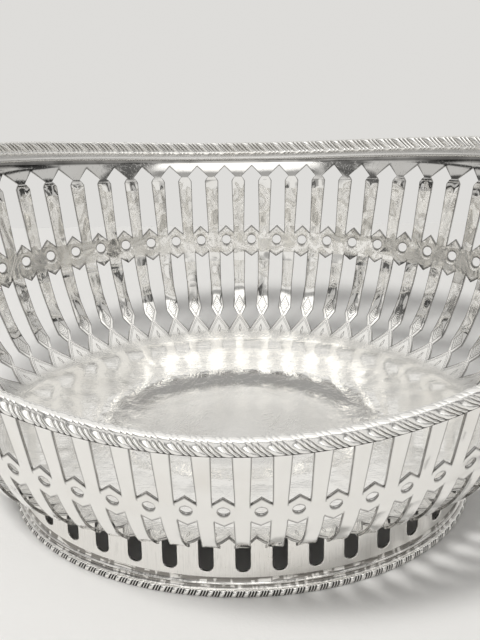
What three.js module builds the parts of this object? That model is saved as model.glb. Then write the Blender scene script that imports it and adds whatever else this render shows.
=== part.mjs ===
// Oval pierced basket of silver-plated sheet on a pierced oval foot.
// Millimetres, +Z up, +X along the basket. The origin is under the middle of the foot, on the table.
import * as THREE from "three";

// Sizes in plan, over the outer edges of the rim border.
const basketLength = 281.6;
const basketWidth = 211.4;

// Sheet, and the space that solder fills between two pieces.
const sheetThickness = 1.0;
const solderGap = 0.3;

// Heights of the bowl at the middle of a long side, stacked from the table up. The lower slots
// start a gap above the floor.
const floorHeight = 31.6;
const lowerSlotGap = 1.7;
const lowerSlotHeight = 28.4;
const beltHeight = 9.1;
const upperSlotHeight = 29.5;
const bandHeight = 3.6;

// The wall stands this far in from the outer edge of the rim border.
const floorInset = 51.6;
const neckInset = 13.3;
const borderInset = 8.7;
const lipInset = 1.1;

// The wall's curve: how far it keeps the floor's direction, and how far the neck's, before it turns.
const covePull = 30;
const wallPull = 38;
const wallAngle = THREE.MathUtils.degToRad(82);
const flareInset = 12.3;
const flareDrop = 0.8;

// The ends of the basket rise like the ends of a boat.
const slotRise = 21;
const lipRise = 29.4;

// Piercing of the wall. The metal left beside a slot is wide by a share of the pitch from slot to slot.
const slotCount = 58;
const neckShare = 0.2;
const upperShoulderShare = 0.53;
const upperSlatShare = 0.42;
const lowerSlatShare = 0.48;
const slatWaistShare = 0.44;
const lowerShoulderShare = 0.57;
const upperPointHeight = 5.1;
const upperShoulderDrop = 3.3;
const lowerPointHeight = 3.0;
const lowerShoulderRise = 2.6;
const upperToothHeight = 3.2;
const lowerToothHeight = 2.1;
const holeDiameter = 4.0;
const holeToUpperSlot = 3.4;
const holeSides = 8;

// Rim border: struck strip of slanting lobes beside a plain fillet, soldered on in equal pieces.
// Lobes are counted on one piece.
const rimPieceCount = 16;
const rimLobeCount = 7;
const filletWidth = 4.4;
const filletHeight = 1.1;
const filletBevel = 0.4;
const rimBorderHeight = 4.7;
const crestWidth = 1.9;
const rimLobeDepth = 0.7;
const rimLobeShift = 2.4;

// Foot: an upright pierced collar on a plain moulding on a border of smaller lobes. It reaches
// further out than the bowl's floor. Heights on the moulding are counted from its base.
const footEndReach = 4.8;
const footSideReach = 9.4;
const footPieceCount = 8;
const footLobeCount = 14;
const footBorderWidth = 5.4;
const footBorderHeight = 2.6;
const footLobeDepth = 0.5;
const footLobeShift = 1.2;
const mouldingHeight = 4.8;
const mouldingWidth = 4.2;
const mouldingInset = 1.2;
const mouldingSides = 58;
const beadDepth = 0.6;
const coveDepth = 0.2;
const coveHeight = 1.4;
const beadHeight = 2.4;
const beadTopHeight = 3.4;
const collarInset = 3.3;
const collarDrawIn = 1.5;
const footSlotCount = 36;
const footSlotWidth = 5.6;
const footSlotToMoulding = 2.5;
const footSlotToBowl = 4.5;
const roundSteps = 4;

// Fineness of the working out: stretches measured round an oval, halvings when a place is
// searched for, and the small step that gives a direction.
const ovalStretches = 1440;
const halvings = 40;
const smallStep = 1e-4;

// The slots are spaced evenly on the oval that stands this share of the way in to the floor's edge.
const evenSpacingAt = 1 / 3;

// Heights worked out from the stack.
const lowerTipHeight = floorHeight + lowerSlotGap;
const lowerCornerHeight = lowerTipHeight + lowerSlotHeight;
const upperCornerHeight = lowerCornerHeight + beltHeight;
const holeHeight = upperCornerHeight - holeToUpperSlot;
const upperTipHeight = upperCornerHeight + upperSlotHeight;
const neckHeight = upperTipHeight - upperPointHeight;
const lipHeight = upperTipHeight + bandHeight;

const halfLength = basketLength / 2;
const halfWidth = basketWidth / 2;
const footHalfLength = halfLength - floorInset + footEndReach;
const footHalfWidth = halfWidth - floorInset + footSideReach;

// An ellipse on which equal shares are equal lengths of its edge.
function oval(a, b) {
  const ellipse = new THREE.EllipseCurve(0, 0, a, b);
  ellipse.arcLengthDivisions = ovalStretches;
  ellipse.updateArcLengths();
  return {
    edge: ellipse.getLength(),
    angle: (share) => 2 * Math.PI * ellipse.getUtoTmapping(THREE.MathUtils.euclideanModulo(share, 1)),
  };
}

// The profile of the bowl as points of (inset, height): the wall from floor to neck, then the flare.
const floorEdge = new THREE.Vector2(floorInset, floorHeight);
const neck = new THREE.Vector2(neckInset, neckHeight);
const lip = new THREE.Vector2(lipInset, lipHeight);
const wallCurve = new THREE.CubicBezierCurve(
  floorEdge,
  new THREE.Vector2(floorInset - covePull, floorHeight),
  new THREE.Vector2(
    neckInset + wallPull * Math.cos(wallAngle),
    neckHeight - wallPull * Math.sin(wallAngle),
  ),
  neck,
);
const flareCurve = new THREE.QuadraticBezierCurve(
  neck,
  new THREE.Vector2(flareInset, lipHeight - flareDrop),
  lip,
);

// Levels: 0 is the middle of the floor, 1 its edge, 2 the neck of the wall and 3 the lip.
const floorMiddle = 0;
const floorLevel = 1;
const neckLevel = 2;
const lipLevel = 3;

function profileAt(level) {
  if (level < neckLevel) return wallCurve.getPoint(level - floorLevel);
  return flareCurve.getPoint(level - neckLevel);
}

// Halves the stretch from low to high until the measure, which rises along it, meets the target.
function solve(measure, target, low, high) {
  for (let halving = 0; halving < halvings; halving++) {
    const middle = (low + high) / 2;
    if (measure(middle) < target) low = middle;
    else high = middle;
  }
  return (low + high) / 2;
}

function levelAt(height) {
  return solve((level) => profileAt(level).y, height, floorLevel, lipLevel);
}

function levelAtInset(inset) {
  return solve((level) => -profileAt(level).x, -inset, floorLevel, lipLevel);
}

// How far the end of the basket stands above the middle of its side, at a height.
function riseAt(height) {
  if (height < upperTipHeight) {
    return (slotRise * (height - floorHeight)) / (upperTipHeight - floorHeight);
  }
  return slotRise + ((lipRise - slotRise) * (height - upperTipHeight)) / (lipHeight - upperTipHeight);
}

const bowlOval = oval(
  halfLength - floorInset * evenSpacingAt,
  halfWidth - floorInset * evenSpacingAt,
);

// The middle of the sheet of the bowl.
function bowlPoint(share, level) {
  const angle = bowlOval.angle(share);
  const onFloor = level < floorLevel;
  const { x: inset, y: height } = onFloor ? floorEdge : profileAt(level);
  const scale = onFloor ? level : 1;
  return new THREE.Vector3(
    scale * (halfLength - inset) * Math.cos(angle),
    scale * (halfWidth - inset) * Math.sin(angle),
    height + riseAt(height) * Math.cos(angle) ** 2,
  );
}

// The direction out of the bowl's upper or inner face.
function bowlNormal(share, level) {
  if (level < floorLevel) return new THREE.Vector3(0, 0, 1);
  const high = Math.min(level + smallStep, lipLevel);
  const low = Math.max(level - smallStep, floorLevel);
  const along = bowlPoint(share + smallStep, level).sub(bowlPoint(share - smallStep, level));
  const up = bowlPoint(share, high).sub(bowlPoint(share, low));
  return up.cross(along).normalize();
}

// A point on the bowl's upper or inner face.
function bowlFacePoint(share, level) {
  return bowlPoint(share, level).addScaledVector(bowlNormal(share, level), sheetThickness / 2);
}

// Turns faces, given as lists of corner numbers, into a geometry of flat triangles.
function solidFrom(points, faces) {
  const positions = [];
  for (const face of faces) {
    for (let i = 1; i < face.length - 1; i++) {
      for (const corner of [face[0], face[i], face[i + 1]]) positions.push(...points[corner].toArray());
    }
  }
  const geometry = new THREE.BufferGeometry();
  geometry.setAttribute("position", new THREE.Float32BufferAttribute(positions, 3));
  geometry.computeVertexNormals();
  return geometry;
}

// Splits a flat outline, less its openings, into triangles that turn the same way as the outline.
function trianglesOf(outline, openings) {
  const corners = [outline, ...openings].flat();
  const sameWay = THREE.ShapeUtils.isClockWise(outline) ? -1 : 1;
  return THREE.ShapeUtils.triangulateShape([...outline], openings).map((triangle) => {
    const [a, b, c] = triangle.map((number) => corners[number]);
    const turn = (b.x - a.x) * (c.y - a.y) - (b.y - a.y) * (c.x - a.x);
    return turn * sameWay > 0 ? triangle : triangle.reverse();
  });
}

// A sheet laid out as faces on (share, level), each anticlockwise seen from the side that its
// normal points to.
class Sheet {
  constructor(pointAt, normalAt) {
    this.pointAt = pointAt;
    this.normalAt = normalAt;
    this.numbers = new Map();
    this.front = [];
    this.back = [];
    this.faces = [];
  }

  corner([share, level]) {
    const turn = THREE.MathUtils.euclideanModulo(Math.round(share * 1e6), 1e6);
    const key = level === floorMiddle ? "middle" : turn + "," + level.toFixed(6);
    if (!this.numbers.has(key)) {
      const middle = this.pointAt(share, level);
      const offset = this.normalAt(share, level).multiplyScalar(sheetThickness / 2);
      this.numbers.set(key, this.front.length);
      this.front.push(middle.clone().add(offset));
      this.back.push(middle.clone().sub(offset));
    }
    return this.numbers.get(key);
  }

  face(...corners) {
    this.faces.push(corners.map((corner) => this.corner(corner)));
  }

  // The stretch between two rows, each given as its middle, half its width and its level.
  strip([upperMiddle, upperHalf, upperLevel], [lowerMiddle, lowerHalf, lowerLevel]) {
    this.face(
      [upperMiddle - upperHalf, upperLevel],
      [upperMiddle + upperHalf, upperLevel],
      [lowerMiddle + lowerHalf, lowerLevel],
      [lowerMiddle - lowerHalf, lowerLevel],
    );
  }

  // A panel with one opening. Both outlines are lists of (share, level), and stretch makes them even.
  panel(outline, opening, stretch) {
    const flat = (corners) => corners.map(([share, level]) => new THREE.Vector2(share * stretch, level));
    const corners = [...outline, ...opening];
    for (const triangle of trianglesOf(flat(outline), [flat(opening)])) {
      this.face(...triangle.map((number) => corners[number]));
    }
  }

  // Front faces, back faces turned round, and a wall along each edge that only one face has.
  solid() {
    const count = this.front.length;
    const edges = new Set();
    for (const face of this.faces) {
      face.forEach((corner, i) => edges.add(corner + ">" + face[(i + 1) % face.length]));
    }
    const faces = [];
    for (const face of this.faces) {
      faces.push(face);
      faces.push(face.map((corner) => corner + count).reverse());
      face.forEach((corner, i) => {
        const next = face[(i + 1) % face.length];
        if (!edges.has(next + ">" + corner)) faces.push([next, corner, corner + count, next + count]);
      });
    }
    return solidFrom([...this.front, ...this.back], faces);
  }
}

function bowlGeometry() {
  const sheet = new Sheet(bowlPoint, bowlNormal);
  const pitch = 1 / slotCount;
  const level = {
    lip: lipLevel,
    border: levelAtInset(borderInset),
    upperTip: levelAt(upperTipHeight),
    upperNeck: neckLevel,
    upperShoulder: levelAt(neckHeight - upperShoulderDrop),
    upperTooth: levelAt(upperCornerHeight + upperToothHeight),
    upperCorner: levelAt(upperCornerHeight),
    lowerCorner: levelAt(lowerCornerHeight),
    lowerTooth: levelAt(lowerCornerHeight - lowerToothHeight),
    lowerShoulder: levelAt(lowerTipHeight + lowerPointHeight + lowerShoulderRise),
    lowerNeck: levelAt(lowerTipHeight + lowerPointHeight),
    lowerTip: levelAt(lowerTipHeight),
    floor: floorLevel,
  };
  const waistLevel = (level.lowerTooth + level.lowerShoulder) / 2;
  const half = (width) => (width * pitch) / 2;
  for (let k = 0; k < slotCount; k++) {
    const slat = (k + 0.5) * pitch;
    const slot = k * pitch;
    const rows = [
      [slat, pitch / 2, level.lip],
      [slat, pitch / 2, level.border],
      [slat, pitch / 2, level.upperTip],
      [slat, half(neckShare), level.upperNeck],
      [slat, half(upperShoulderShare), level.upperShoulder],
      [slat, half(upperSlatShare), level.upperTooth],
      [slat, half(upperSlatShare), level.upperCorner],
      [slat, half(lowerSlatShare), level.lowerCorner],
      [slat, half(lowerSlatShare), level.lowerTooth],
      [slat, half(slatWaistShare), waistLevel],
      [slat, half(lowerShoulderShare), level.lowerShoulder],
      [slat, half(neckShare), level.lowerNeck],
      [slat, pitch / 2, level.lowerTip],
      [slat, pitch / 2, level.floor],
    ];
    for (let row = 1; row < rows.length; row++) sheet.strip(rows[row - 1], rows[row]);
    sheet.face([slat - pitch / 2, level.floor], [slat + pitch / 2, level.floor], [slot, floorMiddle]);

    const upperHalf = half(1 - upperSlatShare);
    const lowerHalf = half(1 - lowerSlatShare);
    sheet.face(
      [slot, level.upperTooth],
      [slot + upperHalf, level.upperCorner],
      [slot - upperHalf, level.upperCorner],
    );
    sheet.face(
      [slot, level.lowerTooth],
      [slot - lowerHalf, level.lowerCorner],
      [slot + lowerHalf, level.lowerCorner],
    );
    const panel = [
      [slot - upperHalf, level.upperCorner],
      [slot + upperHalf, level.upperCorner],
      [slot + lowerHalf, level.lowerCorner],
      [slot - lowerHalf, level.lowerCorner],
    ];
    sheet.panel(panel, holeOutline(slot), slotCount);
  }
  return sheet.solid();
}

// The round hole between two slots, its height eased where the end of the basket draws the wall taller.
function holeOutline(slot) {
  const stretch = 1 + (slotRise * Math.cos(bowlOval.angle(slot)) ** 2) / (upperTipHeight - floorHeight);
  const outline = [];
  for (let i = 0; i < holeSides; i++) {
    const turn = (2 * Math.PI * (i + 0.5)) / holeSides;
    const height = holeHeight + ((holeDiameter / 2) * Math.sin(turn)) / stretch;
    outline.push([slot + ((holeDiameter / 2) * Math.cos(turn)) / bowlOval.edge, levelAt(height)]);
  }
  return outline;
}

// A strip of one cross-section carried round an oval, from one share to another or right round.
// place(share, x, y) puts a point of the section in space, and section(i) gives its corners
// [x, y, shift] at station i, clockwise seen along the strip, with shift a share of the oval.
function strip(place, section, shares, closed) {
  const points = [];
  const faces = [];
  const corners = section(0).length;
  shares.forEach((share, i) => {
    for (const [x, y, shift] of section(i)) points.push(place(share + shift, x, y));
  });
  const spans = closed ? shares.length : shares.length - 1;
  for (let i = 0; i < spans; i++) {
    const near = i * corners;
    const far = ((i + 1) % shares.length) * corners;
    for (let j = 0; j < corners; j++) {
      const next = (j + 1) % corners;
      faces.push([near + j, near + next, far + next, far + j]);
    }
  }
  if (!closed) {
    const outline = section(0).map(([x, y]) => new THREE.Vector2(x, y));
    const last = (shares.length - 1) * corners;
    for (const triangle of trianglesOf(outline, [])) {
      faces.push([...triangle].reverse());
      faces.push(triangle.map((corner) => corner + last));
    }
  }
  return solidFrom(points, faces);
}

// The stations of one piece of border: each lobe has a crest and the hollow beside it.
function borderShares(index, pieceCount, lobeCount, edge) {
  const start = (index - 0.5) / pieceCount + solderGap / 2 / edge;
  const end = (index + 0.5) / pieceCount - solderGap / 2 / edge;
  const spans = 2 * lobeCount;
  return Array.from({ length: spans + 1 }, (_, i) => start + ((end - start) * i) / spans);
}

// On the rim, x runs over the sheet from the border's inner edge to the lip, and y stands up from it.
const rimOval = oval(halfLength - lipInset, halfWidth - lipInset);
const rimSeat = borderInset - lipInset;

function rimPoint(share, x, y) {
  const bowlShare = shareAtAngle(bowlOval, rimOval.angle(share));
  const innerLevel = levelAtInset(borderInset);
  const inner = bowlFacePoint(bowlShare, innerLevel);
  const across = bowlFacePoint(bowlShare, lipLevel).sub(inner);
  const next = bowlPoint(bowlShare + smallStep, lipLevel);
  const along = next.sub(bowlPoint(bowlShare - smallStep, lipLevel));
  const up = across.clone().cross(along).normalize();
  return inner.addScaledVector(across, x / rimSeat).addScaledVector(up, y + solderGap);
}

// The share of an oval at which its angle is the given one.
function shareAtAngle(ellipse, angle) {
  return solve(ellipse.angle, angle, 0, 1);
}

function rimBorderGeometry(index) {
  const shares = borderShares(index, rimPieceCount, rimLobeCount, rimOval.edge);
  const shift = rimLobeShift / rimOval.edge;
  const outerWidth = rimSeat + lipInset;
  const crest = (filletWidth + outerWidth) / 2;
  const section = (station) => {
    const depth = station % 2 ? 0 : rimLobeDepth;
    const height = rimBorderHeight - depth;
    return [
      [0, 0, 0],
      [filletBevel, filletHeight, 0],
      [filletWidth, filletHeight, -shift],
      [crest + depth / 2, height, 0],
      [crest + crestWidth - depth / 2, height - crestWidth / 2, shift / 2],
      [outerWidth - depth / 2, filletHeight, shift],
      [outerWidth - filletBevel, 0, shift],
    ];
  };
  return strip(rimPoint, section, shares, false);
}

// On the foot, x runs in from the outer edge and y stands up from the table.
const footOval = oval(footHalfLength, footHalfWidth);

function footPoint(share, x, y) {
  const angle = footOval.angle(share);
  return new THREE.Vector3(
    (footHalfLength - x) * Math.cos(angle),
    (footHalfWidth - x) * Math.sin(angle),
    y,
  );
}

function footBorderGeometry(index) {
  const shares = borderShares(index, footPieceCount, footLobeCount, footOval.edge);
  const shift = footLobeShift / footOval.edge;
  const section = (station) => {
    const depth = station % 2 ? 0 : footLobeDepth;
    return [
      [footBorderWidth, 0, 0],
      [footBorderWidth, footBorderHeight, 0],
      [mouldingInset - footLobeDepth + depth, footBorderHeight - depth / 2, shift],
      [depth, footBorderHeight / 2, 0],
      [footLobeDepth, 0, -shift],
    ];
  };
  return strip(footPoint, section, shares, false);
}

const mouldingBase = footBorderHeight + solderGap;
const mouldingTop = mouldingBase + mouldingHeight;
// A plain moulding: a hollow band, a bead and a short upright that the collar stands on.
function footMouldingGeometry() {
  const inner = mouldingInset + mouldingWidth;
  const upright = collarInset - sheetThickness / 2;
  const section = () => [
    [inner, mouldingBase, 0],
    [inner, mouldingTop, 0],
    [upright, mouldingTop, 0],
    [upright, mouldingBase + beadTopHeight, 0],
    [upright - beadDepth, mouldingBase + beadHeight, 0],
    [upright - coveDepth, mouldingBase + coveHeight, 0],
    [mouldingInset, mouldingBase, 0],
  ];
  const shares = Array.from({ length: mouldingSides }, (_, i) => i / mouldingSides);
  return strip(footPoint, section, shares, true);
}

// The height of the bowl's underside over a point of the foot.
function bowlUndersideOver(point) {
  const outside = (inset) =>
    (point.x / (halfLength - inset)) ** 2 + (point.y / (halfWidth - inset)) ** 2;
  const inset = Math.min(solve(outside, 1, neckInset, halfWidth - sheetThickness), floorInset);
  const height = profileAt(levelAtInset(inset)).y;
  const cosine = point.x / (halfLength - inset);
  return height + riseAt(height) * cosine ** 2 - sheetThickness / 2;
}

const collarBase = mouldingTop + solderGap;
const collarReach = floorHeight - collarBase;

// The middle of the collar's sheet, which leans in as it goes up.
function collarPoint(share, height) {
  return footPoint(share, collarInset + (collarDrawIn * (height - collarBase)) / collarReach, height);
}

function collarNormal(share, height) {
  const middle = collarPoint(share, height);
  const along = collarPoint(share + smallStep, height).sub(collarPoint(share - smallStep, height));
  const up = collarPoint(share, height + smallStep).sub(middle);
  return along.cross(up).normalize();
}

// The height at which the inner face of the collar meets the bowl.
function collarTopAt(share) {
  const normal = collarNormal(share, floorHeight);
  const inner = collarPoint(share, floorHeight).addScaledVector(normal, -sheetThickness);
  return bowlUndersideOver(inner) - solderGap;
}

// A slot with round ends, as (share, height) anticlockwise from the right of its upper end.
function footSlotOutline(middle) {
  const radius = footSlotWidth / 2;
  const upperCentre = floorHeight - footSlotToBowl - radius;
  const lowerCentre = collarBase + footSlotToMoulding + radius;
  const outline = [];
  for (const [centre, start] of [[upperCentre, 0], [lowerCentre, Math.PI]]) {
    for (let i = 0; i <= roundSteps; i++) {
      const turn = start + (Math.PI * i) / roundSteps;
      const share = middle + (radius * Math.cos(turn)) / footOval.edge;
      outline.push([share, centre + radius * Math.sin(turn)]);
    }
  }
  return outline;
}

function footCollarGeometry() {
  const sheet = new Sheet(collarPoint, collarNormal);
  const pitch = 1 / footSlotCount;
  for (let k = 0; k < footSlotCount; k++) {
    const [left, middle, right] = [(k - 0.5) * pitch, k * pitch, (k + 0.5) * pitch];
    const outline = [
      [left, collarBase],
      [right, collarBase],
      [right, collarTopAt(right)],
      [left, collarTopAt(left)],
    ];
    sheet.panel(outline, footSlotOutline(middle), footOval.edge);
  }
  return sheet.solid();
}

const polishedPlate = { color: 0xd3d1cc, roughness: 0.16, metalness: 1 };
const struckPlate = { color: 0xc6c3bd, roughness: 0.28, metalness: 1 };
const footPlate = { color: 0xcdcac4, roughness: 0.24, metalness: 1 };

const basket = new THREE.Group();

function add(name, geometry, finish) {
  const mesh = new THREE.Mesh(geometry, new THREE.MeshStandardMaterial(finish));
  mesh.name = name;
  basket.add(mesh);
}

add("bowl", bowlGeometry(), polishedPlate);
for (let i = 0; i < rimPieceCount; i++) {
  add("rim_border_" + String(i + 1).padStart(2, "0"), rimBorderGeometry(i), struckPlate);
}
add("foot_collar", footCollarGeometry(), footPlate);
add("foot_moulding", footMouldingGeometry(), footPlate);
for (let i = 0; i < footPieceCount; i++) {
  add("foot_border_" + (i + 1), footBorderGeometry(i), struckPlate);
}

export default basket;
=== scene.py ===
import bpy
import numpy as np
from mathutils import Matrix


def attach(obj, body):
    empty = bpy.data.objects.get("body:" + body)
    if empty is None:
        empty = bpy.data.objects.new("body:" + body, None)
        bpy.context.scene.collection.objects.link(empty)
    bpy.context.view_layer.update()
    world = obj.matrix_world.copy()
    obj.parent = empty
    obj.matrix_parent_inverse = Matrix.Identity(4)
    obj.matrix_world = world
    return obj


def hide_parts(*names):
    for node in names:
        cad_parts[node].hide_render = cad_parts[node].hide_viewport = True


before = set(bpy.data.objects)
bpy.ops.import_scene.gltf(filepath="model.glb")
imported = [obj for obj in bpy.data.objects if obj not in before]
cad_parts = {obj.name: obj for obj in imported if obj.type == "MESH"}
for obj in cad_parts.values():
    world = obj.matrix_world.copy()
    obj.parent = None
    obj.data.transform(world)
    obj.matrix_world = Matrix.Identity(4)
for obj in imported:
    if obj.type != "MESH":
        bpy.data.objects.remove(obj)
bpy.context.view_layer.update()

# Oval pierced basket of silver-plated sheet. Sizes are in millimetres, and MM turns them into
# metres when a mesh is made. +Z is up and +X runs along the basket.
MM = 0.001
OVAL_STEPS, RIM_STEPS, LEVEL_STEPS, INSET_STEPS, SMALL_STEP = 7200, 6000, 4000, 800, 1e-4

# The bowl's profile: heights at the middle of a long side, insets from the outermost oval, and
# how much higher the ends stand.
SHEET = 1.0
HALF_LENGTH, HALF_WIDTH = 140.8, 105.7
FLOOR_HEIGHT, LOWER_TIP, LOWER_CORNER = 31.6, 33.3, 61.7
UPPER_CORNER, NECK_HEIGHT, UPPER_TIP, LIP_HEIGHT = 70.8, 95.2, 100.3, 103.9
FLOOR_INSET, NECK_INSET, BORDER_INSET, LIP_INSET = 51.6, 13.3, 8.7, 1.1
COVE_PULL, WALL_PULL, WALL_ANGLE = 30.0, 38.0, np.radians(82)
BAND_BEND, BAND_TOP, LIP_BEND = (11.7, 99.0), (8.7, 102.1), (7.6, 103.2)
SLOT_RISE, LIP_RISE = 21.0, 29.4
FLOOR_DISH, MIDDLE_DISH = 1.0, 1.2

# What hand work left: the lengths of its waves on the wall, the slats and the cove. Then how
# round the cut edges are, and how much painted shade the middle of a cut edge gets.
HAND_SEED = 11
LONG_WAVES, SHORT_WAVES, FACETS = (46, 31, 23), (15, 11, 8), (29, 23, 17)
BOWL_ROUNDING, COLLAR_ROUNDING, SHARP_ANGLE, CUT_SHADE = 0.3, 0.32, np.radians(50), 0.45

# The piercing: half the width of the metal between slots, in pitches, and how far its necks,
# shoulders and teeth stand from the heights above.
SLOTS = 58
HOLE_HEIGHT, HOLE_RADIUS = 67.4, 2.0
UPPER_NECK, UPPER_SHOULDER, UPPER_SLAT = 0.12, 0.25, 0.21
LOWER_SLAT, SLAT_WAIST, LOWER_SHOULDER, LOWER_NECK = 0.24, 0.22, 0.285, 0.1
UPPER_NECK_RISE, UPPER_SHOULDER_DROP, UPPER_TOOTH, LOWER_TOOTH = 1.2, 0.6, 3.2, 2.1
LOWER_SHOULDER_RISE, LOWER_NECK_RISE = 5.6, 3.0
SLAT_CROWN = 0.24

# The borders and the foot. A unit is one lobe with its reeds.
RIM_PIECES, RIM_UNITS = 16, 7
FOOT_PIECES, FOOT_UNITS = 8, 14
REEDS, RELIEF_STEPS, FILLET_SHADE, GROOVE_DEPTH = 2, 8, 0.58, 0.45
# Leans, and how dark the painted shade in the grooves is, for the rim and the foot.
RIM_LEAN, RIM_GROOVE_SHADE, FOOT_LEAN, FOOT_GROOVE_SHADE = 5.2, 0.8, -0.6, 1.6
FOOT_HALF_LENGTH, FOOT_HALF_WIDTH = 94.0, 63.5
COLLAR_BASE, COLLAR_INSET, COLLAR_DRAW_IN = 8.0, 3.3, 1.5
# The middle value below is the painted shade inside the collar.
COLLAR_OVERLAP, INNER_PAINTED_SHADE, MOULDING_STATIONS = 0.1, 0.9, 240
FOOT_SLOTS, FOOT_SLOT_RADIUS = 36, 2.8
FOOT_SLOT_LOW, FOOT_SLOT_HIGH = 13.3, 24.3


# Ovals

def run_along(x, y):
    """How far along a line each of its points lies: the running sum of its straight stretches."""
    return np.concatenate([[0], np.cumsum(np.hypot(np.diff(x), np.diff(y)))])


def oval(a, b):
    """An ellipse by shares of its edge. The angle at a share is looked up in the distances along
    the edge. Gives the lookup and the edge's length."""
    turn = np.linspace(0, 2 * np.pi, OVAL_STEPS + 1)
    run = run_along(a * np.cos(turn), b * np.sin(turn))

    def angle(share):
        whole = np.floor(share)
        return np.interp(share - whole, run / run[-1], turn) + 2 * np.pi * whole

    return angle, run[-1]


# The bowl's shares run along an oval a third of the way in to the floor's edge.
bowl_angle, BOWL_EDGE = oval(HALF_LENGTH - FLOOR_INSET / 3, HALF_WIDTH - FLOOR_INSET / 3)
rim_angle, RIM_EDGE = oval(HALF_LENGTH - LIP_INSET, HALF_WIDTH - LIP_INSET)
foot_angle, FOOT_EDGE = oval(FOOT_HALF_LENGTH, FOOT_HALF_WIDTH)


# The bowl's surface by share of the way round and by level: 0 the middle of the floor, 1 the
# floor's edge, 2 the neck of the wall, 3 the lip.

def profile(level):
    """Inset and height of the sheet's middle at a level. From 1 to 2 a cubic curve that leaves
    the floor flat and reaches the neck steeply, from 2 to 3 two quadratic ones: the plain band,
    which leans outwards, and the flatter lip under the border."""
    t = np.clip(level - 1, 0, 1)[..., None]
    f = np.clip(2 * (level - 2), 0, 1)[..., None]
    g = np.clip(2 * (level - 2.5), 0, 1)[..., None]
    floor_edge, cove, wall, neck, bend, top, turn, lip = np.array([
        (FLOOR_INSET, FLOOR_HEIGHT), (FLOOR_INSET - COVE_PULL, FLOOR_HEIGHT),
        (NECK_INSET + WALL_PULL * np.cos(WALL_ANGLE),
         NECK_HEIGHT - WALL_PULL * np.sin(WALL_ANGLE)),
        (NECK_INSET, NECK_HEIGHT), BAND_BEND, BAND_TOP, LIP_BEND, (LIP_INSET, LIP_HEIGHT)])
    lower = ((1 - t) ** 3 * floor_edge + 3 * t * (1 - t) ** 2 * cove
             + 3 * t ** 2 * (1 - t) * wall + t ** 3 * neck)
    band = (1 - f) ** 2 * neck + 2 * f * (1 - f) * bend + f ** 2 * top
    over = (1 - g) ** 2 * top + 2 * g * (1 - g) * turn + g ** 2 * lip
    both = np.where(level[..., None] < 2, lower, np.where(level[..., None] < 2.5, band, over))
    return both[..., 0], both[..., 1]


LEVELS = np.linspace(1, 3, LEVEL_STEPS + 1)
LEVEL_INSETS, LEVEL_HEIGHTS = profile(LEVELS)
LEVEL_RUN = run_along(LEVEL_INSETS, LEVEL_HEIGHTS)


def level_at(height):
    """The level at which the profile reaches a height."""
    return np.interp(height, LEVEL_HEIGHTS, LEVELS)


def level_at_inset(inset):
    """The level at which the profile comes to an inset."""
    return np.interp(-inset, -LEVEL_INSETS, LEVELS)


def run_at(level):
    """Distance along the profile from the floor's edge, less than 0 on the floor."""
    on_floor = (level - 1) * (HALF_WIDTH - FLOOR_INSET)
    return np.where(level < 1, on_floor, np.interp(level, LEVELS, LEVEL_RUN))


def rise_at(height):
    """How far the basket's end stands above the middle of its side at a height: in step with the
    height up to the slots' tips, then faster up to the lip."""
    below = SLOT_RISE * (height - FLOOR_HEIGHT) / (UPPER_TIP - FLOOR_HEIGHT)
    above = SLOT_RISE + (LIP_RISE - SLOT_RISE) * (height - UPPER_TIP) / (LIP_HEIGHT - UPPER_TIP)
    return np.where(height < UPPER_TIP, below, above)


def dish(level):
    """How far the floor lies below its edge: nothing at the edge, a shallow hollow inwards, and a
    softly bent step down to the flat middle, each as a smooth cubic step over the levels."""
    def step(start, end):
        t = np.clip((level - start) / (end - start), 0, 1)
        return 1 - t * t * (3 - 2 * t)
    return FLOOR_DISH * step(0.6, 1.15) + MIDDLE_DISH * step(0.45, 0.68)


def true_bowl(share, level):
    """The middle of the sheet: an ellipse drawn in by the profile's inset, at the profile's height
    plus the rise times the square of the angle's cosine. The floor is that ellipse shrunk, and
    dished."""
    turn = bowl_angle(share)
    inset, height = profile(np.maximum(level, 1))
    shrink = np.minimum(level, 1)
    return np.stack([shrink * (HALF_LENGTH - inset) * np.cos(turn),
                     shrink * (HALF_WIDTH - inset) * np.sin(turn),
                     height + rise_at(height) * np.cos(turn) ** 2 - dish(level)], -1)


def unit(vectors):
    """Vectors of length 1."""
    return vectors / np.linalg.norm(vectors, axis=-1, keepdims=True)


def true_normal(share, level):
    """The direction out of the upper or inner face: the cross product of two small steps over the
    surface."""
    held = np.clip(level, 0.05, 3)
    high, low = np.minimum(held + SMALL_STEP, 3), held - SMALL_STEP
    along = true_bowl(share + SMALL_STEP, held) - true_bowl(share - SMALL_STEP, held)
    up = true_bowl(share, high) - true_bowl(share, low)
    return unit(np.cross(up, along))


def waves(across, up, seed, sizes):
    """A smooth uneven field: a sum of sine waves over two coordinates in millimetres, each with a
    drawn direction and start, and a height that grows with its length. It lies within -1 and 1."""
    draw = np.random.default_rng(seed)
    total, most = 0, 0
    for size in sizes:
        for _ in range(3):
            turn, start = draw.uniform(0, 2 * np.pi, 2)
            total = total + size * np.sin(2 * np.pi / size * (
                across * np.cos(turn) + up * np.sin(turn)) + start)
            most += size
    return total / most


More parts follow.
